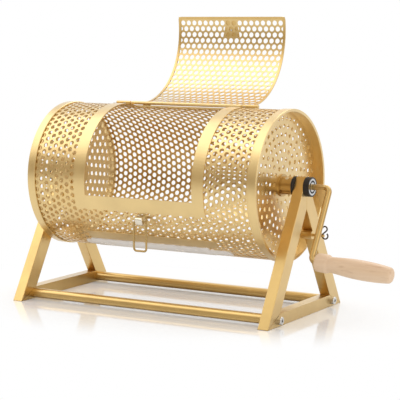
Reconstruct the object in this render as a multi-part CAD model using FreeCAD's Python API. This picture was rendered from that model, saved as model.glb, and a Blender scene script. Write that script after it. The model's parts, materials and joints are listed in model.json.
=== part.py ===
import FreeCAD, Part
import math
import os

# A raffle drum with a hand crank. A perforated drum with a curved door lies between two
# A-shaped end frames and turns in two ball bearings. Millimetres, +Z up.
# X runs along the drum's axle, and the crank is at +X. The front is at -Y.
# The origin is on the floor, midway between the end frames and under the axle.
# Angles round the drum are in degrees: 0 is the front, 90 the top and 180 the back.

# Stand
frame_gap = 7.5
stand_depth = 218.0
peak_above_axle = 15.5
peak_trim = 2.5
leg_depth = 22.5
tube_width = 15.0
tube_wall = 1.5
crossbar_height = 16.0
tie_rod_radius = 6.75
tie_rod_inset = 30.0
tie_rod_height = 8.0
tie_screw_radius = 3.0
tie_screw_depth = 14.0
tie_screw_head_radius = 5.3
tie_screw_head_height = 5.5
tie_screw_head_round = 0.8
hex_socket_flats = 4.0
hex_socket_depth = 2.5
screw_clearance = 0.2

# Drum
axle_height = 172.5
drum_radius = 100.0
drum_length = 357.0
shell_wall = 1.0
rim_width = 12.0
rim_wall = 1.5
rim_lip = 9.5
rim_edge_chamfer = 0.5
disc_recess = 13.7
disc_wall = 1.0

# Holes in the end discs: rings of holes, with six more in each next ring
disc_hole_radius = 3.1
ring_start_radius = 24.1
ring_step = 10.8
ring_count = 7
ring_start_holes = 12
ring_more_holes = 6

# Openings in the shell and the door: a plain grid in place of the fine rows of round holes
shell_grid_columns = 12
shell_grid_rows = 24
shell_grid_bar = 10.0
door_grid_columns = 12
door_grid_rows = 12
door_grid_bar = 4.4
grid_margin = 2.0

# Hubs, axle and bearings
shaft_radius = 4.0
hub_radius = 12.0
hub_flange_radius = 15.0
hub_flange_wall = 2.0
hub_spigot_radius = 10.0
backing_radius = 22.0
backing_wall = 2.0
hub_bore_clearance = 0.05
hub_gap = 0.3
grub_radius = 2.5
grub_angle = 60.0
shaft_inner_reach = 3.5
washer_radius = 13.0
washer_wall = 3.0
bearing_radius = 11.0
bearing_width = 7.0
outer_race_inner_radius = 8.7
inner_race_radius = 6.3
ball_pitch_radius = 7.5
ball_radius = 1.95
groove_radius = 2.0
ball_count = 7
seal_wall = 0.6
seal_inset = 0.3
seal_clearance = 0.2
cup_radius = 13.0
cup_floor = 1.0
sleeve_radius = 5.5
sleeve_clearance = 0.5
cap_nut_flats = 13.0
cap_nut_height = 6.5
cap_nut_gap = 0.4
cap_dome_radius = 5.8
stub_reach = 5.0

# Window in the shell, its frame and the strips under it
window_half_length = 84.0
window_low_angle = -10.3
window_high_angle = 105.0
frame_side = 17.5
frame_sill_angle = 11.4
frame_top_angle = 7.0
frame_wall = 1.0
stop_tab_length = 12.0
stop_tab_place = 70.0
stop_tab_angle = 5.0
stop_tab_wall_angle = 1.2
seam_low_angle = -54.5
seam_high_angle = -44.5
seam_left = -99.5
seam_right = 103.5
seam_wall = 1.0
wear_low_angle = -71.0
wear_high_angle = -56.0
wear_left = -103.5
wear_right = 84.0
wear_left_tongue = 13.5
wear_right_tongue = 31.0
wear_tongue_low_angle = -68.0
wear_tongue_high_angle = -59.0
wear_tongue_round = 6.0
wear_wall = 1.6

# Door, drawn shut and then turned open about its hinge rod
door_half_length = 88.0
door_free_angle = -11.2
door_wall = 0.8
door_corner = 4.0
door_open_turn = 180.0
hem_width = 3.5
hem_wall = 0.4
hem_end_angle = 101.0
hem_clearance = 0.05
door_gap = 0.3
hinge_rod_radius = 1.6
hinge_clearance = 0.05
hinge_angle = 105.0
hinge_rod_reach = 113.0
clip_near = 91.0
clip_far = 114.0
clip_wall = 0.8
clip_pad_angle = 5.5
clip_rivet_x = 96.5
clip_rivet_angle = 4.0
clip_rivet_radius = 1.0
clip_rivet_head = 1.9
rivet_head_height = 0.8
rivet_clearance = 0.05

# Latch: a block under the sill, a wire bail on it and a hooked plate on the door
latch_x = 1.6
latch_angle = -27.5
latch_pivot_height = 7.0
latch_block_half_length = 6.0
latch_block_round = 4.8
latch_rivet_radius = 2.0
latch_rivet_depth = 3.2
latch_rivet_head = 3.5
latch_rivet_head_height = 1.2
bail_wire_radius = 1.4
bail_clearance = 0.08
bail_half_width = 9.7
bail_length = 39.0
bail_corner = 4.0
bail_pin_length = 7.0
bail_pin_bend = 1.8
keeper_low_angle = -8.9
keeper_high_angle = 5.5
keeper_low_half_width = 7.9
keeper_high_half_width = 13.5
keeper_wall = 1.2
keeper_gap = 0.3
hook_half_width = 5.5
hook_overhang = 2.0
keeper_rivet_radius = 1.2
keeper_rivet_head = 2.2
keeper_rivet_inset = 4.4
keeper_rivet_drop = 3.2

# Crank and grip
crank_standoff = 25.0
crank_lean = 31.0
crank_arm_length = 103.0
crank_bend = 7.0
crank_pin_tilt = 5.0
gusset_wall = 4.0
gusset_cup_gap = 6.0
gusset_arm_end = 34.0
grip_start = 8.5
grip_length = 105.0
grip_collar_radius = 12.0
grip_collar_length = 17.0
grip_neck_radius = 10.0
grip_neck_place = 20.5
grip_belly_radius = 12.7
grip_belly_place = 62.0
grip_tail_radius = 10.2
grip_end_radius = 8.3
grip_end_chamfer = 3.0
grip_edge = 1.2
grip_bore_clearance = 0.08
grip_pocket_radius = 7.0
grip_pocket_depth = 15.0
grip_plug_length = 6.0
grip_nut_radius = 6.0
grip_nut_wall = 2.5
grip_nut_gap = 0.4

# Drum lock on the right rear leg
lock_ring = 5
lock_holes_past_phase = 11
lock_pin_radius = 2.0
lock_pin_clearance = 0.06
lock_guide_radius = 5.63
lock_guide_inset = 1.0
lock_guide_length = 16.0
lock_pin_gap = 3.5
lock_pin_overhang = 18.6
pull_wire_radius = 1.0
pull_clearance = 0.1
pull_hole_setback = 2.6
pull_loop_radius = 4.0
pull_hook_radius = 3.4
pull_hook_rise = 9.3
pull_hook_shift = -0.5
pull_loop_end_angle = 50.0
pull_hook_end_angle = 165.0

# How far a cutting shape runs past what it cuts
overcut = 1.0

# Worked out from the sizes above
rim_end = drum_length / 2
frame_inner_x = rim_end + frame_gap
frame_outer_x = frame_inner_x + tube_width
leg_peak = axle_height + peak_above_axle
lean = math.atan2(stand_depth / 2, leg_peak)
leg_run = leg_depth / math.cos(lean)
tie_rod_y = stand_depth / 2 - tie_rod_inset
disc_face = rim_end - disc_recess
disc_back = disc_face - disc_wall
shell_inner = drum_radius - shell_wall
hub_end = frame_inner_x - washer_wall - hub_gap
backing_x = disc_back - backing_wall
shaft_inner_x = backing_x - shaft_inner_reach
cup_open_x = frame_outer_x + cup_floor + bearing_width
crank_arm_x = cup_open_x + crank_standoff
gusset_rod_start = cup_open_x + gusset_cup_gap
lock_guide_start = frame_inner_x + lock_guide_inset
lock_pin_end = frame_outer_x + lock_pin_overhang
frame_radius = drum_radius + frame_wall
hem_reach = hem_clearance + hem_wall
door_inner = frame_radius + door_gap + hem_reach
door_outer = door_inner + door_wall
knuckle_bore = hinge_rod_radius + hinge_clearance
hinge_radius = door_inner + door_wall + knuckle_bore
keeper_outer = door_outer + keeper_wall
latch_pivot_radius = drum_radius + latch_pivot_height
bail_turn = 2 * math.degrees(math.asin(bail_length / 2 / latch_pivot_radius))
bail_shut_angle = latch_angle + bail_turn
crank_out = FreeCAD.Vector(1, 0, 0)
crank_down = FreeCAD.Vector(0, -math.sin(math.radians(crank_lean)), -math.cos(math.radians(crank_lean)))
crank_side = crank_out.cross(crank_down)
lock_radius = ring_start_radius + (lock_ring - 1) * ring_step
lock_ring_holes = ring_start_holes + (lock_ring - 1) * ring_more_holes
lock_fall = axle_height * math.sin(lean) - (stand_depth / 2 - leg_run) * math.cos(lean) + lock_guide_radius
lock_angle = -math.degrees(math.acos(lock_fall / lock_radius) + lean)
ring_phase = lock_angle + lock_holes_past_phase * 360.0 / lock_ring_holes

BOTH_ENDS = (("left", -1), ("right", 1))
ALONG_X = FreeCAD.Vector(1, 0, 0)


os.makedirs("parts", exist_ok=True)


def save(node, *solids):
    """Write one sub-part: one solid, or a group of equal ones."""
    shape = solids[0] if len(solids) == 1 else Part.makeCompound(list(solids))
    shape.exportStep("parts/" + node + ".step")
    return shape


def at(x, angle, radius):
    """A point near the drum, from its place along the axle, its angle and its radius."""
    turn = math.radians(angle)
    return FreeCAD.Vector(x, -radius * math.cos(turn), axle_height + radius * math.sin(turn))


def outward(angle):
    """The direction that points straight out of the drum at this angle."""
    return at(0, angle, 1) - at(0, angle, 0)


def to_angle(length, radius=drum_radius):
    """The angle that a length along the drum's skin takes up."""
    return math.degrees(length / radius)


def rod(start, end, radius):
    """A round bar between two points."""
    return Part.makeCylinder(radius, (end - start).Length, start, end - start)


def ring(x0, x1, inner, outer, y=0.0, z=axle_height):
    """A tube along X."""
    centre = FreeCAD.Vector(min(x0, x1), y, z)
    body = Part.makeCylinder(outer, abs(x1 - x0), centre, ALONG_X)
    if inner <= 0:
        return body
    return body.cut(Part.makeCylinder(inner, abs(x1 - x0), centre, ALONG_X))


def sheet(x0, x1, low, high, inner, outer):
    """A piece of rolled sheet round the drum's axle."""
    middle = (low + high) / 2
    edges = [
        Part.Arc(at(x0, low, outer), at(x0, middle, outer), at(x0, high, outer)).toShape(),
        Part.makeLine(at(x0, high, outer), at(x0, high, inner)),
        Part.Arc(at(x0, high, inner), at(x0, middle, inner), at(x0, low, inner)).toShape(),
        Part.makeLine(at(x0, low, inner), at(x0, low, outer)),
    ]
    return Part.Face(Part.Wire(edges)).extrude(FreeCAD.Vector(x1 - x0, 0, 0))


def grid_openings(x0, x1, columns, low, high, rows, bar, inner, outer, kept):
    """Openings between crossed bars in a rolled sheet. None reaches into a kept area."""
    step_x = (x1 - x0) / columns
    step_angle = (high - low) / rows
    half_x = (step_x - bar) / 2
    half_angle = step_angle / 2 - to_angle(bar / 2, outer)
    openings = []
    for i in range(columns):
        for j in range(rows):
            x = x0 + (i + 0.5) * step_x
            angle = low + (j + 0.5) * step_angle
            if not any(a - half_x < x < b + half_x and c - half_angle < turned < d + half_angle
                       for a, b, c, d in kept for turned in (angle - 360, angle)):
                openings.append(sheet(x - half_x, x + half_x, angle - half_angle, angle + half_angle,
                                      inner - overcut, outer + overcut))
    return Part.makeCompound(openings)


def prism(points, along):
    """A flat outline pushed along a vector."""
    return Part.Face(Part.makePolygon(points + points[:1])).extrude(along)


def round_corners(shape, radius, angle):
    """Round the radial edges of a rolled sheet at the two corners that lie at this angle."""
    direction = outward(angle)
    picked = []
    for edge in shape.Edges:
        if len(edge.Vertexes) == 2 and edge.Curve.TypeId == "Part::GeomLine":
            run = edge.Vertexes[1].Point - edge.Vertexes[0].Point
            if abs(run.dot(direction)) > 0.999 * run.Length:
                picked.append(edge)
    return shape.makeFillet(radius, picked)


def bent_wire(edges, radius):
    """A wire of round section along edges that join smoothly."""
    path = Part.Wire(edges)
    start = path.OrderedVertexes[0].Point
    section = Part.Wire(Part.makeCircle(radius, start, path.OrderedEdges[0].tangentAt(
        path.OrderedEdges[0].FirstParameter)))
    return path.makePipeShell([section], True, True)


def corner_arc(before, corner, after, radius):
    """The arc that rounds a corner of a path, with its two ends."""
    back = (before - corner).normalize()
    on = (after - corner).normalize()
    half = math.acos(max(-1.0, min(1.0, back.dot(on)))) / 2
    run = radius / math.tan(half)
    start = corner + back * run
    end = corner + on * run
    middle = corner + (back + on).normalize() * (radius / math.sin(half) - radius)
    return start, Part.Arc(start, middle, end).toShape(), end


def path_through(points, radius):
    """Straight runs through points, with a round bend at each inner one."""
    edges = []
    here = points[0]
    for before, corner, after in zip(points, points[1:], points[2:]):
        start, arc, end = corner_arc(before, corner, after, radius)
        edges += [Part.makeLine(here, start), arc]
        here = end
    return edges + [Part.makeLine(here, points[-1])]


def opened(shape):
    """Turn a piece of the shut door to where it stands when the door is open."""
    turned = shape.copy()
    turned.rotate(at(0, hinge_angle, hinge_radius), ALONG_X, -door_open_turn)
    return turned


def mirrored(shape, side):
    """The same piece at the drum's other end."""
    if side > 0:
        return shape
    return shape.mirror(FreeCAD.Vector(0, 0, 0), ALONG_X)


# Stand

def foot_point(share):
    """A point on the cut where a leg meets the crossbar, from the outer to the inner corner."""
    run = leg_run + crossbar_height * math.tan(lean)
    return -stand_depth / 2 + share * run, share * crossbar_height


def leg_block(x0, x1, inset):
    """A front leg's outline, drawn in from its faces and pushed along X."""
    near = inset / math.cos(lean)
    far = leg_run - near
    slope = math.tan(lean)
    outline = [
        foot_point(near / leg_run),
        foot_point(far / leg_run),
        (0.0, (stand_depth / 2 - far) / slope),
        (0.0, (stand_depth / 2 - near) / slope),
    ]
    return prism([FreeCAD.Vector(x0, y, z) for y, z in outline], FreeCAD.Vector(x1 - x0, 0, 0))


def front_leg():
    leg = leg_block(frame_inner_x, frame_outer_x, 0.0)
    leg = leg.cut(leg_block(frame_inner_x + tube_wall, frame_outer_x - tube_wall, tube_wall))
    top = leg_peak - peak_trim
    trim = Part.makeBox(
        tube_width, stand_depth, leg_peak, FreeCAD.Vector(frame_inner_x, -stand_depth / 2, top))
    bore = ring(frame_inner_x, frame_outer_x, 0.0, sleeve_radius)
    return leg.cut(trim).cut(bore)


def crossbar_block(x0, x1, low, high):
    ends = [(-foot_point(z / crossbar_height)[0], z) for z in (low, high)]
    outline = [(-ends[0][0], low), ends[0], ends[1], (-ends[1][0], high)]
    return prism([FreeCAD.Vector(x0, y, z) for y, z in outline], FreeCAD.Vector(x1 - x0, 0, 0))


def crossbar():
    bar = crossbar_block(frame_inner_x, frame_outer_x, 0.0, crossbar_height)
    bar = bar.cut(crossbar_block(
        frame_inner_x + tube_wall, frame_outer_x - tube_wall, tube_wall, crossbar_height - tube_wall))
    for side in (-1, 1):
        bar = bar.cut(ring(
            frame_inner_x, frame_outer_x, 0.0, tie_screw_radius + screw_clearance,
            side * tie_rod_y, tie_rod_height))
    return bar


def tie_rod(side):
    y = side * tie_rod_y
    bar = ring(-frame_inner_x, frame_inner_x, 0.0, tie_rod_radius, y, tie_rod_height)
    for end in (-1, 1):
        hole = ring(
            end * frame_inner_x, end * (frame_inner_x - tie_screw_depth), 0.0,
            tie_screw_radius, y, tie_rod_height)
        bar = bar.cut(hole)
    return bar


def hexagon(x, y, z, flats):
    """Corners of a hexagon square to X."""
    radius = flats / 2 / math.cos(math.pi / 6)
    turns = [math.radians(60 * i + 30) for i in range(6)]
    return [FreeCAD.Vector(x, y + radius * math.cos(t), z + radius * math.sin(t)) for t in turns]


def tie_screw(end, side):
    """A cap-head screw through a crossbar into a tie rod."""
    y = side * tie_rod_y
    x = frame_outer_x
    shank = ring(frame_inner_x - tie_screw_depth, x, 0.0, tie_screw_radius, y, tie_rod_height)
    head = Part.makeCylinder(
        tie_screw_head_radius, tie_screw_head_height, FreeCAD.Vector(x, y, tie_rod_height), ALONG_X)
    rim = [e for e in head.Edges if abs(e.BoundBox.XMin - x - tie_screw_head_height) < 0.01
           and e.BoundBox.YLength > tie_screw_head_radius]
    head = head.makeFillet(tie_screw_head_round, rim)
    face = x + tie_screw_head_height
    socket = prism(
        hexagon(face, y, tie_rod_height, hex_socket_flats), FreeCAD.Vector(-hex_socket_depth, 0, 0))
    return mirrored(shank.fuse(head).removeSplitter().cut(socket), end)


# Bearings and their cups

def bearing_cup():
    floor = ring(frame_outer_x, frame_outer_x + cup_floor, shaft_radius + sleeve_clearance, cup_radius)
    wall = ring(frame_outer_x + cup_floor, cup_open_x, bearing_radius, cup_radius)
    sleeve = ring(frame_inner_x, frame_outer_x, shaft_radius + sleeve_clearance, sleeve_radius)
    return floor.fuse([wall, sleeve]).removeSplitter()


def bearing_middle():
    return cup_open_x - bearing_width / 2


def ball_groove():
    centre = FreeCAD.Vector(bearing_middle(), 0, axle_height)
    return Part.makeTorus(ball_pitch_radius, groove_radius, centre, ALONG_X)


def race(inner, outer):
    return ring(cup_open_x - bearing_width, cup_open_x, inner, outer).cut(ball_groove())


def bearing_balls():
    return [Part.makeSphere(ball_radius, at(bearing_middle(), 360.0 * i / ball_count, ball_pitch_radius))
            for i in range(ball_count)]


def bearing_seals():
    seals = []
    for x in (cup_open_x - seal_inset - seal_wall, cup_open_x - bearing_width + seal_inset):
        seals.append(ring(x, x + seal_wall, inner_race_radius + seal_clearance, outer_race_inner_radius))
    return seals


def spacer_washer():
    return ring(frame_inner_x - washer_wall, frame_inner_x, shaft_radius + sleeve_clearance, washer_radius)


# Drum

def drum_shell():
    shell = ring(-rim_end + rim_wall, rim_end - rim_wall, shell_inner, drum_radius)
    window = sheet(
        -window_half_length, window_half_length, window_low_angle, window_high_angle,
        shell_inner - overcut, drum_radius + overcut)
    end = rim_end - rim_width
    kept = [(-window_half_length - grid_margin, window_half_length + grid_margin,
             window_low_angle, window_high_angle)]
    for side in (-1, 1):
        near, far = sorted((side * clip_near, side * clip_far))
        kept.append((near, far, hinge_angle - clip_pad_angle, hinge_angle + clip_pad_angle))
    openings = grid_openings(
        -end, end, shell_grid_columns, latch_angle, latch_angle + 360, shell_grid_rows,
        shell_grid_bar, shell_inner, drum_radius, kept)
    return shell.cut([window, latch_rivet_shank()] + clip_rivet_shanks()).cut(openings)


def rim():
    """A channel folded over the shell's edge: a band outside, an end wall and a lip inside."""
    outer = drum_radius + rim_wall
    inner = shell_inner - rim_wall
    c = rim_edge_chamfer
    outline = [
        (rim_end - rim_width, drum_radius), (rim_end - rim_width, outer - c), (rim_end - rim_width + c, outer),
        (rim_end - c, outer), (rim_end, outer - c), (rim_end, inner + c), (rim_end - c, inner),
        (rim_end - rim_lip, inner), (rim_end - rim_lip, shell_inner), (rim_end - rim_wall, shell_inner),
        (rim_end - rim_wall, drum_radius),
    ]
    points = [FreeCAD.Vector(x, 0, axle_height + r) for x, r in outline]
    face = Part.Face(Part.makePolygon(points + points[:1]))
    return face.revolve(FreeCAD.Vector(0, 0, axle_height), ALONG_X, 360)


def end_disc():
    """A flanged plate with rings of holes, set back from the rim."""
    plate = ring(disc_back, disc_face, hub_spigot_radius, shell_inner)
    flange = ring(disc_back, rim_end - rim_lip, shell_inner - disc_wall, shell_inner)
    holes = []
    for i in range(ring_count):
        radius = ring_start_radius + i * ring_step
        count = ring_start_holes + i * ring_more_holes
        for j in range(count):
            start = at(disc_back - overcut, ring_phase + 360.0 * j / count, radius)
            holes.append(Part.makeCylinder(disc_hole_radius, disc_wall + 2 * overcut, start, ALONG_X))
    return plate.fuse(flange).removeSplitter().cut(Part.makeCompound(holes))


def grub_screw():
    x = (disc_face + hub_flange_wall + hub_end) / 2
    return rod(at(x, grub_angle, shaft_radius), at(x, grub_angle, hub_radius), grub_radius)


def hub():
    flange = ring(disc_face, disc_face + hub_flange_wall, 0.0, hub_flange_radius)
    barrel = ring(disc_face, hub_end, 0.0, hub_radius)
    spigot = ring(backing_x, disc_face, 0.0, hub_spigot_radius)
    bore = ring(backing_x, hub_end, 0.0, shaft_radius + hub_bore_clearance)
    return flange.fuse([barrel, spigot]).removeSplitter().cut([bore, grub_screw()])


def backing_plate():
    return ring(backing_x, disc_back, hub_spigot_radius, backing_radius)


def opening_frame():
    """The plain border of the window, with two tabs bent up for the open door to rest on."""
    outer = window_half_length + frame_side
    border = sheet(
        -outer, outer, window_low_angle - frame_sill_angle, window_high_angle + frame_top_angle,
        drum_radius, frame_radius)
    window = sheet(
        -window_half_length, window_half_length, window_low_angle, window_high_angle,
        drum_radius - overcut, frame_radius + overcut)
    tabs = []
    for side in (-1, 1):
        x = side * stop_tab_place
        low = hinge_angle + stop_tab_angle
        tabs.append(sheet(
            x - stop_tab_length / 2, x + stop_tab_length / 2, low, low + stop_tab_wall_angle,
            drum_radius, stop_tab_top(low)))
    return border.cut([window] + clip_rivet_shanks()).fuse(tabs).removeSplitter()


def stop_tab_top(angle):
    """How far out a tab may reach and stay a door gap under the open door."""
    turn = math.radians(angle - hinge_angle)
    under = 2 * hinge_radius - door_outer
    return (under - door_gap) / math.cos(turn)


def seam_strap():
    return sheet(seam_left, seam_right, seam_low_angle, seam_high_angle, drum_radius, drum_radius + seam_wall)


def wear_strip():
    """A smooth plastic strip with a narrower rounded tongue at each end."""
    outer = drum_radius + wear_wall
    tongue = sheet(wear_left - wear_left_tongue, wear_right + wear_right_tongue, wear_tongue_low_angle,
                   wear_tongue_high_angle, drum_radius, outer)
    for angle in (wear_tongue_low_angle, wear_tongue_high_angle):
        tongue = round_corners(tongue, wear_tongue_round, angle)
    body = sheet(wear_left, wear_right, wear_low_angle, wear_high_angle, drum_radius, outer)
    return body.fuse(tongue).removeSplitter()


# Door and hinge

def hinge_rod():
    return rod(at(-hinge_rod_reach, hinge_angle, hinge_radius),
               at(hinge_rod_reach, hinge_angle, hinge_radius), hinge_rod_radius)


def clip_rivet_places():
    return [(side * clip_rivet_x, hinge_angle + turn)
            for side in (-1, 1) for turn in (-clip_rivet_angle, clip_rivet_angle)]


def clip_rivet_shanks():
    top = frame_radius + clip_wall
    return [rod(at(x, a, shell_inner), at(x, a, top), clip_rivet_radius) for x, a in clip_rivet_places()]


def clip_rivets():
    """Rivets through clip, frame and shell, each with a flat head outside."""
    top = frame_radius + clip_wall
    rivets = []
    for (x, a), shank in zip(clip_rivet_places(), clip_rivet_shanks()):
        head = rod(at(x, a, top), at(x, a, top + rivet_head_height), clip_rivet_head)
        seat = Part.makeCylinder(top, 2 * frame_outer_x, at(-frame_outer_x, 0, 0), ALONG_X)
        rivets.append(shank.fuse(head.cut(seat)).removeSplitter())
    return rivets


def hinge_clip(side):
    """A strap folded over the hinge rod, with a pad before and behind it."""
    pad_top = frame_radius + clip_wall
    pad = sheet(clip_near, clip_far, hinge_angle - clip_pad_angle, hinge_angle + clip_pad_angle,
                drum_radius, pad_top)
    outer = hinge_rod_radius + clip_wall
    half = to_angle(hinge_rod_radius + clip_wall / 2, hinge_radius)
    neck = sheet(clip_near, clip_far, hinge_angle - half, hinge_angle + half, drum_radius, hinge_radius)
    saddle = rod(at(clip_near, hinge_angle, hinge_radius), at(clip_far, hinge_angle, hinge_radius), outer)
    clip = mirrored(pad.fuse([neck, saddle]), side)
    return clip.cut([opening_frame(), hinge_rod()] + clip_rivet_shanks())


def door_panel():
    """The rolled door, its edge curled round the hinge rod."""
    panel = sheet(-door_half_length, door_half_length, door_free_angle, hinge_angle, door_inner, door_outer)
    panel = round_corners(panel, door_corner, door_free_angle)
    axis = at(-door_half_length, hinge_angle, hinge_radius)
    end = at(door_half_length, hinge_angle, hinge_radius)
    knuckle = rod(axis, end, knuckle_bore + door_wall)
    bore = rod(axis, end, knuckle_bore)
    panel = panel.fuse(knuckle).cut([bore] + keeper_rivet_shanks(rivet_clearance))
    edge = door_half_length - hem_width
    low = door_free_angle + to_angle(hem_width, door_inner)
    kept = [(-keeper_high_half_width, keeper_high_half_width, keeper_low_angle, keeper_high_angle)]
    return panel.cut(grid_openings(
        -edge, edge, door_grid_columns, low, hem_end_angle, door_grid_rows, door_grid_bar,
        door_inner, door_outer, kept))


def door_hem():
    """A channel pressed over the door's three free edges."""
    edge = door_half_length + hem_wall
    low = door_free_angle - to_angle(hem_wall)
    outer = sheet(-edge, edge, low, hem_end_angle, door_inner - hem_reach, door_outer + hem_reach)
    outer = round_corners(outer, door_corner + hem_wall, low)
    edge_in = edge - hem_width
    inner = sheet(-edge_in, edge_in, low + to_angle(hem_width), hinge_angle,
                  door_inner - overcut, door_outer + overcut)
    inner = round_corners(inner, door_corner, low + to_angle(hem_width))
    slot = sheet(-door_half_length, door_half_length, door_free_angle, hinge_angle,
                 door_inner - hem_clearance, door_outer + hem_clearance)
    slot = round_corners(slot, door_corner, door_free_angle)
    return outer.cut([inner, slot])


def keeper_plate():
    """A plate on the door's outside, with a hook that the bail goes over."""
    plate = sheet(-keeper_high_half_width, keeper_high_half_width, keeper_low_angle, keeper_high_angle,
                  door_outer, keeper_outer)
    low = at(0, keeper_low_angle, keeper_outer)
    high = at(0, keeper_high_angle, keeper_outer)
    reach = 2 * keeper_outer
    outline = [
        FreeCAD.Vector(-keeper_low_half_width, -reach, low.z - overcut),
        FreeCAD.Vector(keeper_low_half_width, -reach, low.z - overcut),
        FreeCAD.Vector(keeper_high_half_width, -reach, high.z - overcut),
        FreeCAD.Vector(keeper_high_half_width, -reach, high.z + overcut),
        FreeCAD.Vector(-keeper_high_half_width, -reach, high.z + overcut),
        FreeCAD.Vector(-keeper_high_half_width, -reach, high.z - overcut),
    ]
    plate = plate.common(prism(outline, FreeCAD.Vector(0, reach, 0)))
    wire_half = to_angle(bail_wire_radius + keeper_gap, latch_pivot_radius)
    root_high = bail_shut_angle - wire_half
    root_low = root_high - to_angle(keeper_wall, latch_pivot_radius)
    lip_inner = latch_pivot_radius + bail_wire_radius + keeper_gap
    root = sheet(-hook_half_width, hook_half_width, root_low, root_high, door_outer, lip_inner + keeper_wall)
    lip = sheet(-hook_half_width, hook_half_width, root_low,
                root_low + to_angle(keeper_wall + hook_overhang), lip_inner, lip_inner + keeper_wall)
    return plate.fuse([root, lip]).removeSplitter().cut(keeper_rivet_shanks(rivet_clearance))


def keeper_rivet_places():
    high = keeper_high_angle - to_angle(keeper_rivet_drop, keeper_outer)
    places = [(side * (keeper_high_half_width - keeper_rivet_inset), high) for side in (-1, 1)]
    return places + [(0.0, (bail_shut_angle + keeper_high_angle) / 2)]


def keeper_rivet_shanks(clearance=0.0):
    return [rod(at(x, a, door_inner), at(x, a, keeper_outer + rivet_clearance), keeper_rivet_radius + clearance)
            for x, a in keeper_rivet_places()]


def keeper_rivets():
    rivets = []
    for (x, a), shank in zip(keeper_rivet_places(), keeper_rivet_shanks()):
        head = rod(at(x, a, keeper_outer), at(x, a, keeper_outer + rivet_head_height), keeper_rivet_head)
        seat = Part.makeCylinder(
            keeper_outer + rivet_clearance, 2 * frame_outer_x, at(-frame_outer_x, 0, 0), ALONG_X)
        rivets.append(shank.fuse(head.cut(seat)).removeSplitter())
    return rivets


# Latch

def latch_rivet_shank():
    return rod(at(latch_x, latch_angle, shell_inner),
               at(latch_x, latch_angle, drum_radius + latch_rivet_depth), latch_rivet_radius)


def latch_rivet():
    head = rod(at(latch_x, latch_angle, shell_inner - latch_rivet_head_height),
               at(latch_x, latch_angle, shell_inner + overcut), latch_rivet_head)
    inside = Part.makeCylinder(shell_inner, 2 * frame_outer_x, at(-frame_outer_x, 0, 0), ALONG_X)
    return head.common(inside).fuse(latch_rivet_shank()).removeSplitter()


def latch_block():
    """A block with a rounded top that carries the bail's pins."""
    half = to_angle(latch_block_round, latch_pivot_radius)
    x0 = latch_x - latch_block_half_length
    x1 = latch_x + latch_block_half_length
    base = sheet(x0, x1, latch_angle - half, latch_angle + half, drum_radius, latch_pivot_radius)
    left = at(x0, latch_angle, latch_pivot_radius)
    right = at(x1, latch_angle, latch_pivot_radius)
    top = rod(left, right, latch_block_round)
    block = base.fuse(top).removeSplitter()
    bore = rod(left, right, bail_wire_radius + bail_clearance)
    return block.cut([bore, latch_rivet_shank()])


def latch_bail():
    """A U of wire, its ends turned in to make the pins. At rest it hangs straight down."""
    pivot = at(latch_x, latch_angle, latch_pivot_radius)
    inner = bail_half_width - bail_pin_length
    drop = FreeCAD.Vector(0, 0, -bail_length)
    out = FreeCAD.Vector(bail_half_width, 0, 0)
    pin = FreeCAD.Vector(inner, 0, 0)
    points = [pivot - pin, pivot - out, pivot - out + drop, pivot + out + drop, pivot + out, pivot + pin]
    radii = (bail_pin_bend, bail_corner, bail_corner, bail_pin_bend)
    edges = []
    here = points[0]
    for before, corner, after, radius in zip(points, points[1:], points[2:], radii):
        start, arc, end = corner_arc(before, corner, after, radius)
        edges += [Part.makeLine(here, start), arc]
        here = end
    edges.append(Part.makeLine(here, points[-1]))
    return bent_wire(edges, bail_wire_radius)


# Crank and grip

def crank_point(out, down, side=0.0):
    """A point in the crank's plane: out along the axle, and down along the arm."""
    origin = FreeCAD.Vector(0, 0, axle_height)
    return origin + crank_out * out + crank_down * down + crank_side * side


def pin_direction():
    turn = math.radians(crank_pin_tilt)
    return crank_out * math.cos(turn) + crank_down * math.sin(turn)


def on_pin(length):
    """A point on the crank's pin, measured from the grip's inner end."""
    return crank_point(crank_arm_x, crank_arm_length) + pin_direction() * (grip_start + length)


def pocket_start():
    return grip_length - grip_pocket_depth


def nut_start():
    return pocket_start() + grip_nut_gap


def crank_rod():
    corners = [
        FreeCAD.Vector(shaft_inner_x, 0, axle_height), crank_point(crank_arm_x, 0),
        crank_point(crank_arm_x, crank_arm_length), on_pin(nut_start() + grip_nut_wall),
    ]
    return bent_wire(path_through(corners, crank_bend), shaft_radius)


def crank_gusset(whole_rod):
    """A web welded into the upper bend."""
    half = crank_side * (gusset_wall / 2)
    mid = shaft_radius / 2
    outline = [
        crank_point(gusset_rod_start, mid), crank_point(crank_arm_x - mid, mid),
        crank_point(crank_arm_x - mid, gusset_arm_end),
    ]
    return prism([p - half for p in outline], half * 2).cut(whole_rod)


def grip_nut():
    return rod(on_pin(nut_start()), on_pin(nut_start() + grip_nut_wall), grip_nut_radius).cut(
        rod(on_pin(nut_start()), on_pin(nut_start() + grip_nut_wall), shaft_radius))


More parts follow.
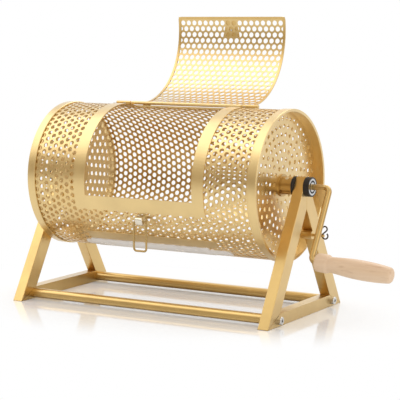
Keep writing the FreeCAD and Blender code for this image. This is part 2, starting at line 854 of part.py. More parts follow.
def grip_outline():
    """Half of the turned grip: collar, neck, belly and a blunt end."""
    def p(length, radius):
        return FreeCAD.Vector(length, radius, 0)
    collar_end = grip_collar_length - grip_edge
    belly = Part.BSplineCurve()
    belly.interpolate([
        p(grip_collar_length, (grip_collar_radius + grip_neck_radius) / 2),
        p(grip_neck_place, grip_neck_radius),
        p((grip_neck_place + grip_belly_place) / 2, (grip_neck_radius + 2 * grip_belly_radius) / 3),
        p(grip_belly_place, grip_belly_radius),
        p(grip_length - grip_end_chamfer, grip_tail_radius),
    ])
    neck = belly.value(belly.FirstParameter)
    return [
        Part.makeLine(p(0, 0), p(0, grip_collar_radius - grip_edge)),
        Part.makeLine(p(0, grip_collar_radius - grip_edge), p(grip_edge, grip_collar_radius)),
        Part.makeLine(p(grip_edge, grip_collar_radius), p(collar_end, grip_collar_radius)),
        Part.makeLine(p(collar_end, grip_collar_radius), neck),
        belly.toShape(),
        Part.makeLine(p(grip_length - grip_end_chamfer, grip_tail_radius), p(grip_length, grip_end_radius)),
        Part.makeLine(p(grip_length, grip_end_radius), p(grip_length, 0)),
        Part.makeLine(p(grip_length, 0), p(0, 0)),
    ]


def wooden_grip():
    body = Part.Face(Part.Wire(grip_outline())).revolve(FreeCAD.Vector(0, 0, 0), ALONG_X, 360)
    place = FreeCAD.Placement(on_pin(0), FreeCAD.Rotation(ALONG_X, pin_direction()))
    body.Placement = place
    bore = rod(on_pin(-overcut), on_pin(pocket_start() + overcut), shaft_radius + grip_bore_clearance)
    pocket = rod(on_pin(pocket_start()), on_pin(grip_length + overcut), grip_pocket_radius)
    return body.cut([bore, pocket])


def grip_plug():
    return rod(on_pin(grip_length - grip_plug_length), on_pin(grip_length), grip_pocket_radius)


# Stub axle at the plain end

def stub_end():
    return cup_open_x + cap_nut_gap + stub_reach


def stub_shaft():
    return mirrored(ring(shaft_inner_x, stub_end(), 0.0, shaft_radius), -1)


def cap_nut():
    start = cup_open_x + cap_nut_gap
    body = prism(hexagon(start, 0, axle_height, cap_nut_flats), FreeCAD.Vector(cap_nut_height, 0, 0))
    dome = Part.makeSphere(cap_dome_radius, FreeCAD.Vector(start + cap_nut_height, 0, axle_height))
    room = Part.makeBox(cap_dome_radius * 2, cap_nut_flats * 2, cap_nut_flats * 2,
                        FreeCAD.Vector(start + cap_nut_height, -cap_nut_flats, axle_height - cap_nut_flats))
    nut = body.fuse(dome.common(room)).removeSplitter()
    return mirrored(nut.cut(ring(start, stub_end(), 0.0, shaft_radius)), -1)


# Drum lock

def lock_centre(x):
    """On the ring of holes that the pin enters, a bush's radius away from the leg."""
    return at(x, lock_angle, lock_radius)


def lock_guide():
    """A bush welded under the rear leg, just touching its inner face."""
    start = lock_centre(lock_guide_start)
    end = lock_centre(lock_guide_start + lock_guide_length)
    return rod(start, end, lock_guide_radius).cut(rod(start, end, lock_pin_radius + lock_pin_clearance))


def pull_hole_x():
    return lock_pin_end - pull_hole_setback


def lock_pin():
    start = lock_centre(disc_face + lock_pin_gap)
    end = lock_centre(lock_pin_end)
    # the hole is wide enough for the curve that the loop makes on its way through
    slope = math.asin(lock_pin_radius / pull_loop_radius)
    curve = pull_loop_radius * (1 - math.cos(slope))
    wire = pull_wire_radius / math.cos(slope)
    centre = lock_centre(pull_hole_x() + curve / 2)
    up = FreeCAD.Vector(0, 0, lock_pin_radius * 2)
    hole = rod(centre - up, centre + up, wire + curve / 2 + pull_clearance)
    return rod(start, end, lock_pin_radius).cut(hole)


def lock_pull():
    """A wire bent to an S: a loop through the pin's end and an open hook above it."""
    loop = lock_centre(pull_hole_x()) + FreeCAD.Vector(pull_loop_radius, 0, 0)
    hook = loop + FreeCAD.Vector(pull_hook_shift, 0, pull_hook_rise)

    def on(centre, radius, degrees):
        turn = math.radians(degrees)
        return centre + FreeCAD.Vector(radius * math.cos(turn), 0, radius * math.sin(turn))

    # the straight run crosses between the circles, tangent to both
    between = hook - loop
    bearing = math.degrees(math.atan2(between.z, between.x))
    swing = math.degrees(math.acos((pull_loop_radius + pull_hook_radius) / between.Length))
    leave = bearing + swing
    join = leave - 180
    low = (pull_loop_end_angle + leave - 360) / 2
    high = (join + pull_hook_end_angle) / 2
    first = Part.Arc(on(loop, pull_loop_radius, pull_loop_end_angle), on(loop, pull_loop_radius, low),
                     on(loop, pull_loop_radius, leave)).toShape()
    run = Part.makeLine(on(loop, pull_loop_radius, leave), on(hook, pull_hook_radius, join))
    last = Part.Arc(on(hook, pull_hook_radius, join), on(hook, pull_hook_radius, high),
                    on(hook, pull_hook_radius, pull_hook_end_angle)).toShape()
    return bent_wire([first, run, last], pull_wire_radius)


def flipped(shape):
    """The same leg on the other side of the stand."""
    return shape.mirror(FreeCAD.Vector(0, 0, 0), FreeCAD.Vector(0, 1, 0))


def build_stand():
    leg = front_leg()
    bar = crossbar()
    for name, side in BOTH_ENDS:
        save(name + "_front_leg", mirrored(leg, side))
        save(name + "_rear_leg", mirrored(flipped(leg), side))
        save(name + "_crossbar", mirrored(bar, side))
        save(name + "_bearing_cup", mirrored(bearing_cup(), side))
        save(name + "_bearing_outer_race", mirrored(race(outer_race_inner_radius, bearing_radius), side))
    save("front_tie_rod", tie_rod(-1))
    save("rear_tie_rod", tie_rod(1))
    save("tie_rod_screws", *[tie_screw(end, side) for end in (-1, 1) for side in (-1, 1)])
    save("bearing_balls", *[mirrored(b, side) for side in (-1, 1) for b in bearing_balls()])
    save("bearing_seals", *[mirrored(s, side) for side in (-1, 1) for s in bearing_seals()])
    save("spacer_washers", *[mirrored(spacer_washer(), side) for side in (-1, 1)])
    save("lock_guide", lock_guide())


def build_drum():
    save("drum_shell", drum_shell())
    for name, side in BOTH_ENDS:
        save(name + "_rim", mirrored(rim(), side))
        save(name + "_end_disc", mirrored(end_disc(), side))
        save(name + "_hub", mirrored(hub(), side))
        save(name + "_bearing_inner_race", mirrored(race(shaft_radius, inner_race_radius), side))
    save("hub_backing_plates", *[mirrored(backing_plate(), side) for side in (-1, 1)])
    save("hub_grub_screws", *[mirrored(grub_screw().cut(ring(
        disc_face, hub_end, 0.0, shaft_radius)), side) for side in (-1, 1)])
    save("opening_frame", opening_frame())
    save("seam_strap", seam_strap())
    save("wear_strip", wear_strip())
    save("hinge_rod", hinge_rod())
    save("hinge_clips", *[hinge_clip(side) for side in (-1, 1)])
    save("hinge_clip_rivets", *clip_rivets())
    save("latch_block", latch_block())
    save("latch_rivet", latch_rivet())
    save("left_stub_shaft", stub_shaft())
    save("stub_cap_nut", cap_nut())
    whole_rod = crank_rod()
    save("crank_rod", whole_rod)
    save("crank_gusset", crank_gusset(whole_rod))
    save("grip_nut", grip_nut())


def build_moving_pieces():
    save("door_panel", opened(door_panel()))
    save("door_hem", opened(door_hem()))
    save("keeper_plate", opened(keeper_plate()))
    save("keeper_rivets", *[opened(rivet) for rivet in keeper_rivets()])
    save("latch_bail", latch_bail())
    save("wooden_grip", wooden_grip())
    save("grip_plug", grip_plug())
    save("lock_pin", lock_pin())
    save("lock_pull", lock_pull())


build_stand()
build_drum()
build_moving_pieces()
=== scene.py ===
import json
import math

import bmesh
import bpy
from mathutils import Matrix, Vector

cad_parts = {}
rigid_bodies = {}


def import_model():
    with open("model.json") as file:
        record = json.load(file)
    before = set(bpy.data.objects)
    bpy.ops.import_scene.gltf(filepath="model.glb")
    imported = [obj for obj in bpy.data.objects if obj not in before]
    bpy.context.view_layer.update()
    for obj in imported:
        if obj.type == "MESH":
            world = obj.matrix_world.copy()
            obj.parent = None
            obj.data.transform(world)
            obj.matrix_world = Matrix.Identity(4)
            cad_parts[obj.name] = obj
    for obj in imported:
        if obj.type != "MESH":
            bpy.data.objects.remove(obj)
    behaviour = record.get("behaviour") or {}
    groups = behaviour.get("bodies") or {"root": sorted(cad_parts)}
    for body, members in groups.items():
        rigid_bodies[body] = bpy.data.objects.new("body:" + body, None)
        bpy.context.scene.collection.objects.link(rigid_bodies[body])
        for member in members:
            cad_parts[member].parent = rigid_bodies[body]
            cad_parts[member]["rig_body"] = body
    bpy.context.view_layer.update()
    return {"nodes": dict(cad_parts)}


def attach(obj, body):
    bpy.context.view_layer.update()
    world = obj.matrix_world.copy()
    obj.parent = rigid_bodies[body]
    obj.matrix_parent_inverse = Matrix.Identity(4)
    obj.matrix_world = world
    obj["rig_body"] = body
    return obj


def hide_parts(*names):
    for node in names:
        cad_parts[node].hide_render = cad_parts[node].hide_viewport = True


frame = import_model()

# Sizes in metres, angles round the drum in degrees: 0 is the front and 90 the top.
# Those of the solids repeat the CAD source's values. The holes, the latch tab and the grip's line
# follow the photograph.

# Shell
AXLE_Z = 0.1725
SHELL_OUT = 0.100
SHELL_IN = 0.099
SHELL_END = 0.177
HOLE_R = 0.0034
COLUMN_STEP = 0.00839
COLUMNS = 40
COLUMNS_MIDDLE = -0.0005
HOLES_ROUND = 65
WINDOW_LOW = -11.14
WINDOW_HALF_ROWS = 42
WINDOW_HALF = 0.084

# Door
DOOR_HALF = 0.088
DOOR_FREE = -11.2
DOOR_IN = 0.10175
DOOR_OUT = 0.10255
DOOR_ROW_STEP = 0.00854
DOOR_HOLE_STEP = 0.009514
DOOR_HOLES = 18
DOOR_ROWS = 23
DOOR_HOLE_R = 0.0036
DOOR_PART_HOLE_R = 0.0027
DOOR_EDGE = 0.00434
DOOR_KNUCKLE_GAP = 0.8
HINGE_ANGLE = 105.0
HINGE_R = 0.1042
KNUCKLE_IN = 0.00165
KNUCKLE_OUT = 0.00245

# Latch tab
LATCH_X = 0.0016
LATCH_ANGLE = -27.5
LATCH_HALF = 0.0057
LATCH_TOP = 0.0068
LATCH_BOTTOM = 0.0046
LATCH_NOSE = 0.1106
LATCH_NOSE_ROUND = 0.0034
LATCH_EDGE = 0.0006

# Crank and grip
ARM_X = 0.234
ARM_LEAN = math.radians(31.0)
ARM_LENGTH = 0.103
PIN_TILT = math.radians(5.0)
GRIP_START = 0.0085

# Stage and camera, fitted to the photograph
FLOOR_HALF = 6.0
FLOOR_Z = -0.0002
FLOOR_LIFT = 0.14
FLOOR_OVAL = (0.75, 1.2, 1.0)
FLOOR_FADE_START = 0.18
FLOOR_FADE_END = 0.31
BEHIND = (-0.5, 0.86, 0.0)
CAMERA_AZIMUTH = math.radians(30.298)
CAMERA_ELEVATION = math.radians(7.072)
CAMERA_DISTANCE = 2.0006
CAMERA_AIM = Vector((0.03843, 0, 0.14483))
LENS_MM = 131.46
SENSOR_MM = 36.0

# How far edges are rounded, and from which angle they count as sharp or are rounded
TUBE_EDGE = 0.0011
SHEET_EDGE = 0.0003
WEB_EDGE = 0.0006
SHARP_DEGREES = 35.0
BEVEL_DEGREES = 38.0
GRIP_SHARP_DEGREES = 50.0

# How near two lengths count as one: in sums, in a net of faces and in a CAD piece's mesh
CLOSE = 1e-9
KEYS_PER_METRE = 1e7
MERGE = 2e-6

# Faces round a turned piece
GRIP_TURNS = 64
KNUCKLE_TURNS = 32

NODES = frame["nodes"]


def polar(x, angle, radius):
    """A point from its place along the axle, its angle round the drum and its radius."""
    t = math.radians(angle)
    return Vector((x, -radius * math.cos(t), AXLE_Z + radius * math.sin(t)))


def place_object(name, data):
    obj = bpy.data.objects.new(name, data)
    bpy.context.scene.collection.objects.link(obj)
    return obj


def bands(rings, turns):
    """Faces between each ring of points and the next."""
    faces = []
    for i in range(rings - 1):
        for k in range(turns):
            j = (k + 1) % turns
            faces.append([i * turns + k, i * turns + j, (i + 1) * turns + j, (i + 1) * turns + k])
    return faces


def new_mesh(name, verts, faces, material, body, sharp=SHARP_DEGREES):
    mesh = bpy.data.meshes.new(name)
    mesh.from_pydata([tuple(v) for v in verts], [], faces)
    mesh.validate()
    work = bmesh.new()
    work.from_mesh(mesh)
    bmesh.ops.recalc_face_normals(work, faces=work.faces)
    work.to_mesh(mesh)
    work.free()
    mesh.shade_smooth()
    mesh.set_sharp_from_angle(angle=math.radians(sharp))
    obj = place_object(name, mesh)
    mesh.materials.append(material)
    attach(obj, body)
    return obj


# Materials

def principled(name, colour, metallic, roughness):
    mat = bpy.data.materials.new(name)
    mat.use_nodes = True
    nodes, links = mat.node_tree.nodes, mat.node_tree.links
    bsdf = nodes["Principled BSDF"]
    bsdf.inputs["Base Color"].default_value = (*colour, 1)
    bsdf.inputs["Metallic"].default_value = metallic
    bsdf.inputs["Roughness"].default_value = roughness
    return mat, nodes, links, bsdf


def add_noise(nodes, links, scale, detail=3.0, stretch=(1, 1, 1), rough=0.55):
    coords = nodes.new("ShaderNodeTexCoord")
    mapping = nodes.new("ShaderNodeMapping")
    mapping.inputs["Scale"].default_value = stretch
    noise = nodes.new("ShaderNodeTexNoise")
    noise.inputs["Scale"].default_value = scale
    noise.inputs["Detail"].default_value = detail
    noise.inputs["Roughness"].default_value = rough
    links.new(coords.outputs["Object"], mapping.inputs["Vector"])
    links.new(mapping.outputs["Vector"], noise.inputs["Vector"])
    return noise.outputs["Fac"], mapping


def ramp(nodes, links, value, stops):
    node = nodes.new("ShaderNodeValToRGB")
    while len(node.color_ramp.elements) < len(stops):
        node.color_ramp.elements.new(0.5)
    for element, (place, colour) in zip(node.color_ramp.elements, stops):
        element.position = place
        element.color = (*colour, 1)
    links.new(value, node.inputs["Fac"])
    return node.outputs["Color"]


def spread(nodes, links, value, low, high):
    node = nodes.new("ShaderNodeMapRange")
    node.inputs["From Min"].default_value = 0.3
    node.inputs["From Max"].default_value = 0.7
    node.inputs["To Min"].default_value = low
    node.inputs["To Max"].default_value = high
    links.new(value, node.inputs["Value"])
    return node.outputs["Result"]


def bump(nodes, links, bsdf, value, strength, distance):
    node = nodes.new("ShaderNodeBump")
    node.inputs["Strength"].default_value = strength
    node.inputs["Distance"].default_value = distance
    links.new(value, node.inputs["Height"])
    links.new(node.outputs["Normal"], bsdf.inputs["Normal"])


def tint(colour, share):
    return tuple(min(1.0, c * share) for c in colour)


def metal(name, colour, roughness, grain=900.0, grain_depth=0.00002, vary=0.06, metallic=1.0, lacquer=0.0):
    """Satin metal: cloudy tone, uneven gloss and a fine grain, with a soft lacquer where one is given."""
    mat, nodes, links, bsdf = principled(name, colour, metallic, roughness)
    bsdf.inputs["Coat Weight"].default_value = lacquer
    bsdf.inputs["Coat Roughness"].default_value = 0.3
    bsdf.inputs["Coat IOR"].default_value = 1.8
    cloud, _ = add_noise(nodes, links, 22.0)
    tone = ramp(nodes, links, cloud, [(0.3, tint(colour, 1 - vary)), (0.7, tint(colour, 1 + vary))])
    links.new(tone, bsdf.inputs["Base Color"])
    smear, _ = add_noise(nodes, links, 60.0, 4.0)
    links.new(spread(nodes, links, smear, roughness * 0.85, roughness * 1.15), bsdf.inputs["Roughness"])
    fine, _ = add_noise(nodes, links, grain, 2.0)
    bump(nodes, links, bsdf, fine, 0.25, grain_depth)
    return mat


def plain(name, colour, roughness, grain=700.0, grain_depth=0.00002, vary=0.08):
    """Rubber, paint or plastic: no metal, slightly uneven."""
    return metal(name, colour, roughness, grain, grain_depth, vary, 0.0)


gold = metal("satin_gold", (0.69, 0.455, 0.135), 0.33, lacquer=0.8)
# A darker copy of the satin gold: painted shade, for the hubs, crank rod and gusset, which sit in shade.
painted_shade_gold = metal("painted_shade_gold", (0.53, 0.335, 0.10), 0.32, lacquer=0.5)
# A paler copy of the satin gold: painted highlight, for the rims, window frame and seam strap, which face the
# lamps.
painted_highlight_gold = metal("painted_highlight_gold", (0.76, 0.545, 0.22), 0.34, lacquer=0.8)
gold_sheet = metal("satin_gold_sheet", (0.74, 0.52, 0.20), 0.30, 1200.0, 0.00001, lacquer=0.8)
pale_steel = metal("pale_steel", (0.80, 0.74, 0.62), 0.24, 1500.0, 0.00001)
brass = metal("brass_wire", (0.50, 0.34, 0.14), 0.28, 1500.0, 0.00001)
bright = metal("bright_steel", (0.72, 0.71, 0.69), 0.22, 1500.0, 0.00001)
race = metal("bearing_steel", (0.58, 0.58, 0.58), 0.25, 1500.0, 0.00001)
dark = metal("dark_steel", (0.12, 0.10, 0.085), 0.35)
black = plain("black_cup", (0.014, 0.013, 0.013), 0.42)
rubber = plain("black_rubber", (0.018, 0.017, 0.017), 0.6)
white = plain("white_strip", (0.97, 0.95, 0.93), 0.25, vary=0.02)


def wood():
    """Pale beech: long soft grain along the grip and short dark flecks."""
    mat, nodes, links, bsdf = principled("pale_wood", (0.74, 0.52, 0.34), 0.0, 0.42)
    grain, mapping = add_noise(nodes, links, 30.0, 5.0, (0.12, 1.6, 1.6), 0.6)
    along_grip = (0.0, PIN_TILT * math.cos(ARM_LEAN), -PIN_TILT * math.sin(ARM_LEAN))
    mapping.inputs["Rotation"].default_value = along_grip
    tone = ramp(nodes, links, grain, [
        (0.25, (0.62, 0.41, 0.25)), (0.45, (0.75, 0.54, 0.355)), (0.6, (0.79, 0.585, 0.40)),
        (0.8, (0.70, 0.49, 0.31))])
    fleck, place = add_noise(nodes, links, 260.0, 2.0, (0.12, 1.0, 1.0))
    place.inputs["Rotation"].default_value = along_grip
    spots = ramp(nodes, links, fleck, [(0.30, (0.80, 0.72, 0.66)), (0.42, (1, 1, 1))])
    mix = nodes.new("ShaderNodeMix")
    mix.data_type = "RGBA"
    mix.blend_type = "MULTIPLY"
    mix.inputs["Factor"].default_value = 0.7
    links.new(tone, mix.inputs[6])
    links.new(spots, mix.inputs[7])
    links.new(mix.outputs[2], bsdf.inputs["Base Color"])
    links.new(spread(nodes, links, grain, 0.36, 0.5), bsdf.inputs["Roughness"])
    bump(nodes, links, bsdf, grain, 0.2, 0.0001)
    return mat


beech = wood()


# Sheets with rows of round holes

class Flat:
    """A flat net of faces, later bent round the axle and given its thickness."""

    def __init__(self, wrap=None):
        self.index = {}
        self.points = []
        self.faces = []
        self.wrap = wrap

    def point(self, u, v):
        if self.wrap:
            v = v % self.wrap
            if self.wrap - v < 1 / KEYS_PER_METRE:
                v = 0.0
        key = (round(u * KEYS_PER_METRE), round(v * KEYS_PER_METRE))
        if key not in self.index:
            self.index[key] = len(self.points)
            self.points.append((u, v))
        return self.index[key]

    def grid(self, us, vs):
        for u0, u1 in zip(us, us[1:]):
            for v0, v1 in zip(vs, vs[1:]):
                corners = ((u0, v0), (u1, v0), (u1, v1), (u0, v1))
                self.faces.append([self.point(u, v) for u, v in corners])

    def cell(self, u, v, hu, hv, radius, across=4):
        """A rectangle with a round hole in the middle, in 4 faces at each side and some across."""
        outer, inner = [], []
        for side, count in enumerate((across, 4, across, 4)):
            for k in range(count):
                t = 2 * k / count - 1
                a, b = ((t, -1), (1, t), (-t, 1), (-1, -t))[side]
                turn = math.radians(225 + 90 * (side + k / count))
                outer.append(self.point(u + a * hu, v + b * hv))
                inner.append(self.point(u + radius * math.cos(turn), v + radius * math.sin(turn)))
        for i in range(len(outer)):
            j = (i + 1) % len(outer)
            self.faces.append([outer[i], outer[j], inner[j], inner[i]])

    def solid(self, place_out, place_in):
        """Both skins and the wall along every open edge."""
        n = len(self.points)
        verts = [place_out(u, v) for u, v in self.points] + [place_in(u, v) for u, v in self.points]
        faces = [list(f) for f in self.faces] + [[i + n for i in reversed(f)] for f in self.faces]
        edges = dict.fromkeys((a, b) for f in self.faces for a, b in zip(f, f[1:] + f[:1]))
        for a, b in edges:
            if (b, a) not in edges:
                faces.append([b, a, a + n, b + n])
        return verts, faces


def steps(low, high, count):
    return [low + (high - low) * i / count for i in range(count + 1)]


def shell():
    """Columns of holes, each half a hole away from its neighbours, and a gap in them for the window."""
    pitch = math.tau * SHELL_OUT / HOLES_ROUND
    half_v = pitch / 2
    half_u = COLUMN_STEP / 2
    to_v = math.radians(1.0) * SHELL_OUT
    start = WINDOW_LOW * to_v
    gap = WINDOW_HALF_ROWS * half_v
    flat = Flat(math.tau * SHELL_OUT)
    for i in range(COLUMNS):
        u = COLUMNS_MIDDLE + (i - (COLUMNS - 1) / 2) * COLUMN_STEP
        slices = [u - half_u + half_u * k / 2 for k in range(5)]
        in_window = abs(u) - half_u < WINDOW_HALF
        first = start + (i % 2) * half_v
        for j in range(HOLES_ROUND):
            low = first + j * pitch
            if not in_window:
                flat.cell(u, low + half_v, half_u, half_v, HOLE_R)
                continue
            after = low - start
            if after + pitch <= gap + CLOSE:
                continue
            if after < gap - CLOSE:
                flat.grid(slices, [start + gap, start + gap + half_v / 2, start + gap + half_v])
            elif after + pitch > math.tau * SHELL_OUT + CLOSE:
                flat.grid(slices, [low, low + half_v / 2, low + half_v])
            else:
                flat.cell(u, low + half_v, half_u, half_v, HOLE_R)
    ring = [start + half_v / 2 * k for k in range(HOLES_ROUND * 4 + 1)]
    left, right = COLUMNS_MIDDLE - COLUMNS * half_u, COLUMNS_MIDDLE + COLUMNS * half_u
    flat.grid(steps(right, SHELL_END, 2), ring)
    flat.grid(steps(-SHELL_END, left, 2), ring)
    verts, faces = flat.solid(
        lambda u, v: polar(u, v / to_v, SHELL_OUT), lambda u, v: polar(u, v / to_v, SHELL_IN))
    obj = new_mesh("perforated_shell", verts, faces, gold_sheet, "drum")
    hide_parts("drum_shell")


def door():
    """Rows of holes, long and short in turn, up to the tube that turns on the hinge rod."""
    middle = (DOOR_IN + DOOR_OUT) / 2
    to_v = math.radians(1.0) * middle
    half_u = DOOR_HOLE_STEP / 2
    half_v = DOOR_ROW_STEP / 2
    edge = (DOOR_HOLES + 0.5) * half_u
    flat = Flat()
    across = steps(-edge, edge, DOOR_HOLES * 4 + 2)
    flat.grid(across, steps(0, DOOR_EDGE, 2))
    for row in range(DOOR_ROWS):
        v = DOOR_EDGE + half_v + row * DOOR_ROW_STEP
        short = row % 2
        count = DOOR_HOLES - short
        for i in range(count):
            flat.cell((i - (count - 1) / 2) * DOOR_HOLE_STEP, v, half_u, half_v, DOOR_HOLE_R)
        if short:
            part = half_u * 0.75
            flat.cell(part - edge, v, part, half_v, DOOR_PART_HOLE_R, 3)
            flat.cell(edge - part, v, part, half_v, DOOR_PART_HOLE_R, 3)
        else:
            rows = steps(v - half_v, v + half_v, 4)
            flat.grid([-edge, half_u / 2 - edge], rows)
            flat.grid([edge - half_u / 2, edge], rows)
    top = DOOR_EDGE + DOOR_ROWS * DOOR_ROW_STEP
    flat.grid(across, steps(top, (HINGE_ANGLE - DOOR_KNUCKLE_GAP - DOOR_FREE) * to_v, 4))
    hinge = polar(0, HINGE_ANGLE, HINGE_R)

    def opened(p):
        return Vector((p.x, 2 * hinge.y - p.y, 2 * hinge.z - p.z))

    verts, faces = flat.solid(
        lambda u, v: opened(polar(u, DOOR_FREE + v / to_v, DOOR_OUT)),
        lambda u, v: opened(polar(u, DOOR_FREE + v / to_v, DOOR_IN)))
    base = len(verts)
    turns = KNUCKLE_TURNS
    for x in (-DOOR_HALF, DOOR_HALF):
        for radius in (KNUCKLE_IN, KNUCKLE_OUT):
            for k in range(turns):
                t = math.tau * k / turns
                verts.append(Vector((x, hinge.y + radius * math.cos(t), hinge.z + radius * math.sin(t))))
    for k in range(turns):
        j = (k + 1) % turns
        li, lo, ri, ro = (base + n * turns for n in range(4))
        faces += [[lo + k, lo + j, ro + j, ro + k], [li + k, ri + k, ri + j, li + j],
                  [li + k, li + j, lo + j, lo + k], [ri + k, ro + k, ro + j, ri + j]]
    obj = new_mesh("perforated_door", verts, faces, gold_sheet, "door")
    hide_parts("door_panel")


# Turned grip

def catmull(points, per_run):
    """A smooth line through points."""
    out = []
    ends = [points[0]] + points + [points[-1]]
    for p0, p1, p2, p3 in zip(ends, ends[1:], ends[2:], ends[3:]):
        for k in range(per_run):
            t = k / per_run
            out.append(tuple(
                0.5 * (2 * b + (c - a) * t + (2 * a - 5 * b + 4 * c - d) * t * t
                       + (3 * b - a - 3 * c + d) * t ** 3)
                for a, b, c, d in zip(p0, p1, p2, p3)))
    return out + [points[-1]]


def grip():
    """The collar, neck, belly and rounded end, turned about the crank's pin."""
    down = Vector((0, -math.sin(ARM_LEAN), -math.cos(ARM_LEAN)))
    axis = Vector((math.cos(PIN_TILT), 0, 0)) + down * math.sin(PIN_TILT)
    start = Vector((ARM_X, 0, AXLE_Z)) + down * ARM_LENGTH + axis * GRIP_START
    side = axis.cross(down).normalized()
    up = side.cross(axis).normalized()
    collar = [(0, 0.0042), (0, 0.0100), (0.0003, 0.0108), (0.0009, 0.0115), (0.0018, 0.0119), (0.003, 0.012),
              (0.0145, 0.0121), (0.0160, 0.0119), (0.0169, 0.0114), (0.0174, 0.0107)]
    belly = catmull([(0.0178, 0.01035), (0.0205, 0.0100), (0.030, 0.01085), (0.041, 0.0118), (0.052, 0.0125),
                     (0.062, 0.0127), (0.074, 0.0125), (0.086, 0.0119), (0.095, 0.0111), (0.1015, 0.0103)], 5)
    end = [(0.1025, 0.0101), (0.1036, 0.0094), (0.1044, 0.0086), (0.1049, 0.0076), (0.105, 0.0062),
           (0.105, 0.0)]
    line = collar + belly + end
    turns = GRIP_TURNS
    verts = []
    for s, r in line[:-1]:
        for k in range(turns):
            t = math.tau * k / turns
            verts.append(start + axis * s + (up * math.cos(t) + side * math.sin(t)) * r)
    faces = bands(len(line) - 1, turns)
    verts.append(start + axis * line[-1][0])
    last = (len(line) - 2) * turns
    for k in range(turns):
        faces.append([last + k, last + (k + 1) % turns, len(verts) - 1])
    verts.append(start + axis * 0.0001)
    faces += [[(k + 1) % turns, k, len(verts) - 1] for k in range(turns)]
    obj = new_mesh("turned_grip", verts, faces, beech, "handle", GRIP_SHARP_DEGREES)
    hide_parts("wooden_grip", "grip_plug")


# Latch

def latch():
    """The folded tab that holds the bail: a rounded nose, soft at its two ends."""
    radius = LATCH_NOSE_ROUND
    nose = [(LATCH_TOP - radius, LATCH_NOSE - radius, 90), (-LATCH_BOTTOM + radius, LATCH_NOSE - radius, 0)]
    outline = [(LATCH_TOP, SHELL_OUT)]
    for t, r, start in nose:
        for k in range(9):
            turn = math.radians(start - 90 * k / 8)
            outline.append((t + radius * math.sin(turn), r + radius * math.cos(turn)))
    outline.append((-LATCH_BOTTOM, SHELL_OUT))
    middle_t, middle_r = (LATCH_TOP - LATCH_BOTTOM) / 2, (SHELL_OUT + LATCH_NOSE) / 2
    rounding = ((0.0, 2.0), (0.4, 0.8), (1.0, 0.0))
    ends = [(LATCH_EDGE * along, 1 - LATCH_EDGE * shrink / LATCH_TOP) for along, shrink in rounding]
    rings = [(x - LATCH_HALF, share) for x, share in ends]
    rings += [(LATCH_HALF - x, share) for x, share in reversed(ends)]
    verts = []
    for x, share in rings:
        for t, r in outline:
            t = middle_t + (t - middle_t) * share
            r = middle_r + (r - middle_r) * share if r > middle_r else r
            verts.append(polar(LATCH_X + x, LATCH_ANGLE, r) + polar(0, LATCH_ANGLE + 90, t) - polar(0, 0, 0))
    count = len(outline)
    faces = bands(len(rings), count)
    faces += [list(range(count)), list(range(len(verts) - count, len(verts)))]
    obj = new_mesh("latch_tab", verts, faces, pale_steel, "drum")
    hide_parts("latch_block")


# CAD pieces with softened edges

def soften(node, material, width, segments=2):
    """A copy of a CAD piece whose sharp edges are rounded a little."""
    source = NODES[node]
    work = bmesh.new()
    work.from_mesh(source.data)
    bmesh.ops.remove_doubles(work, verts=work.verts, dist=MERGE)
    bmesh.ops.dissolve_limit(work, angle_limit=math.radians(0.5), verts=work.verts, edges=work.edges)
    mesh = bpy.data.meshes.new(node + "_soft")
    work.to_mesh(mesh)
    work.free()
    obj = place_object(node + "_soft", mesh)
    mesh.shade_smooth()
    mesh.set_sharp_from_angle(angle=math.radians(SHARP_DEGREES))
    edge = obj.modifiers.new("edge", "BEVEL")
    edge.width = width
    edge.segments = segments
    edge.limit_method = "ANGLE"
    edge.angle_limit = math.radians(BEVEL_DEGREES)
    edge.harden_normals = True
    mesh.materials.clear()
    mesh.materials.append(material)
    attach(obj, source["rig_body"])
    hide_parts(node)


def dress(material, *names):
    for name in names:
        mesh = NODES[name].data
        mesh.materials.clear()
        mesh.materials.append(material)


shell()
door()
grip()
latch()
for side in ("left", "right"):
    for piece in ("front_leg", "rear_leg", "crossbar"):
        soften(side + "_" + piece, gold, TUBE_EDGE, 3)
    # The rims get the paler copy of the gold: painted highlight.
    dress(painted_highlight_gold, side + "_rim")
    # The hubs get the darker copy of the gold: painted shade.
    dress(painted_shade_gold, side + "_hub")
    dress(gold_sheet, side + "_end_disc")
    dress(black, side + "_bearing_cup")
    dress(race, side + "_bearing_outer_race", side + "_bearing_inner_race")
# The window frame and seam strap get the paler copy of the gold: painted highlight.
soften("opening_frame", painted_highlight_gold, SHEET_EDGE)
soften("seam_strap", painted_highlight_gold, SHEET_EDGE)
# The gusset and crank rod get the darker copy of the gold: painted shade.
soften("crank_gusset", painted_shade_gold, WEB_EDGE)
dress(painted_shade_gold, "crank_rod")
dress(gold, "front_tie_rod", "rear_tie_rod", "lock_guide", "hub_backing_plates", "hinge_rod", "hinge_clips",
      "door_hem", "keeper_plate", "lock_pin")
dress(bright, "tie_rod_screws", "left_stub_shaft", "stub_cap_nut", "latch_rivet", "hub_grub_screws",
      "grip_nut", "keeper_rivets", "hinge_clip_rivets")
dress(brass, "latch_bail")
dress(race, "bearing_balls")
dress(rubber, "bearing_seals", "spacer_washers")
dress(white, "wear_strip")
dress(dark, "lock_pull")


# Floor, light and camera

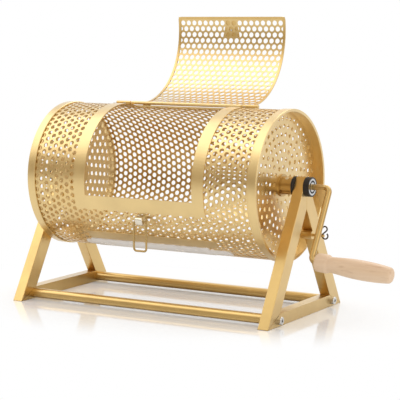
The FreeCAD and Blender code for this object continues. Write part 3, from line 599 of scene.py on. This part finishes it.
def floor():
    """White and a little glossy under the drum, fading to plain white further out."""
    mesh = bpy.data.meshes.new("floor")
    corners = [(x * FLOOR_HALF, y * FLOOR_HALF, FLOOR_Z) for x, y in ((-1, -1), (1, -1), (1, 1), (-1, 1))]
    mesh.from_pydata(corners, [], [(0, 1, 2, 3)])
    obj = place_object("floor", mesh)
    mat, nodes, links, bsdf = principled("floor", (0.70, 0.70, 0.70), 0.0, 0.08)
    bsdf.inputs["Specular IOR Level"].default_value = 1.0
    bsdf.inputs["IOR"].default_value = 1.8
    path = nodes.new("ShaderNodeLightPath")
    lift = nodes.new("ShaderNodeMath")
    lift.operation = "MULTIPLY"
    lift.inputs[1].default_value = FLOOR_LIFT
    links.new(path.outputs["Is Camera Ray"], lift.inputs[0])
    glow = nodes.new("ShaderNodeEmission")
    links.new(lift.outputs[0], glow.inputs["Strength"])
    near = nodes.new("ShaderNodeAddShader")
    links.new(bsdf.outputs[0], near.inputs[0])
    links.new(glow.outputs[0], near.inputs[1])
    coords = nodes.new("ShaderNodeTexCoord")
    oval = nodes.new("ShaderNodeMapping")
    oval.inputs["Scale"].default_value = FLOOR_OVAL
    links.new(coords.outputs["Object"], oval.inputs["Vector"])
    reach = nodes.new("ShaderNodeVectorMath")
    reach.operation = "LENGTH"
    links.new(oval.outputs["Vector"], reach.inputs[0])
    fade = nodes.new("ShaderNodeMapRange")
    fade.interpolation_type = "SMOOTHSTEP"
    fade.inputs["From Min"].default_value = FLOOR_FADE_START
    fade.inputs["From Max"].default_value = FLOOR_FADE_END
    links.new(reach.outputs["Value"], fade.inputs["Value"])
    far = nodes.new("ShaderNodeEmission")
    mix = nodes.new("ShaderNodeMixShader")
    links.new(fade.outputs["Result"], mix.inputs["Fac"])
    links.new(near.outputs[0], mix.inputs[1])
    links.new(far.outputs[0], mix.inputs[2])
    links.new(mix.outputs[0], nodes["Material Output"].inputs["Surface"])
    mesh.materials.append(mat)


def world():
    """A white backdrop behind the drum and a dimmer, warmer room in front of it."""
    w = bpy.data.worlds.new("studio")
    bpy.context.scene.world = w
    w.use_nodes = True
    nodes, links = w.node_tree.nodes, w.node_tree.links
    coords = nodes.new("ShaderNodeTexCoord")
    split = nodes.new("ShaderNodeSeparateXYZ")
    links.new(coords.outputs["Generated"], split.inputs[0])
    height = nodes.new("ShaderNodeMapRange")
    height.inputs["From Min"].default_value = -1.0
    links.new(split.outputs["Z"], height.inputs["Value"])
    room = ramp(nodes, links, height.outputs["Result"], [
        (0.48, (0.70, 0.68, 0.65)), (0.51, (0.42, 0.36, 0.28)), (0.62, (0.42, 0.35, 0.27)),
        (0.76, (0.82, 0.78, 0.73)), (0.90, (1.0, 1.0, 1.0))])
    along = nodes.new("ShaderNodeVectorMath")
    along.operation = "DOT_PRODUCT"
    along.inputs[1].default_value = BEHIND
    links.new(coords.outputs["Generated"], along.inputs[0])
    behind = nodes.new("ShaderNodeMapRange")
    behind.interpolation_type = "SMOOTHSTEP"
    behind.inputs["From Min"].default_value = -0.1
    behind.inputs["From Max"].default_value = 0.4
    links.new(along.outputs["Value"], behind.inputs["Value"])
    path = nodes.new("ShaderNodeLightPath")
    seen = nodes.new("ShaderNodeMath")
    seen.operation = "MAXIMUM"
    links.new(path.outputs["Is Camera Ray"], seen.inputs[0])
    links.new(behind.outputs["Result"], seen.inputs[1])
    mix = nodes.new("ShaderNodeMix")
    mix.data_type = "RGBA"
    links.new(seen.outputs[0], mix.inputs["Factor"])
    links.new(room, mix.inputs[6])
    mix.inputs[7].default_value = (1, 1, 1, 1)
    links.new(mix.outputs[2], nodes["Background"].inputs["Color"])


def lamp(name, place, aim, size, power):
    data = bpy.data.lights.new(name, "AREA")
    data.shape = "RECTANGLE"
    data.size, data.size_y = size
    data.energy = power
    obj = place_object(name, data)
    obj.location = place
    obj.rotation_mode = "QUATERNION"
    obj.rotation_quaternion = (Vector(aim) - Vector(place)).to_track_quat("-Z", "Y")


def camera():
    level = math.cos(CAMERA_ELEVATION)
    back = Vector((math.sin(CAMERA_AZIMUTH) * level, -math.cos(CAMERA_AZIMUTH) * level,
                   math.sin(CAMERA_ELEVATION)))
    data = bpy.data.cameras.new("camera")
    data.sensor_width = SENSOR_MM
    data.lens = LENS_MM
    obj = place_object("camera", data)
    obj.location = CAMERA_AIM + back * CAMERA_DISTANCE
    obj.rotation_mode = "QUATERNION"
    obj.rotation_quaternion = (-back).to_track_quat("-Z", "Y")
    data.clip_start, data.clip_end = 0.05, 50
    bpy.context.scene.camera = obj


floor()
world()
lamp("key", (-1.6, -0.5, 1.9), (0, 0, 0.15), (2.4, 2.4), 18)
lamp("fill", (2.2, -0.3, 0.9), (0, 0, 0.15), (1.6, 1.6), 9)
lamp("rim", (0.2, 1.2, 1.6), (0, 0, 0.2), (1.6, 0.8), 8)
camera()
bpy.context.scene.view_settings.view_transform = "Standard"
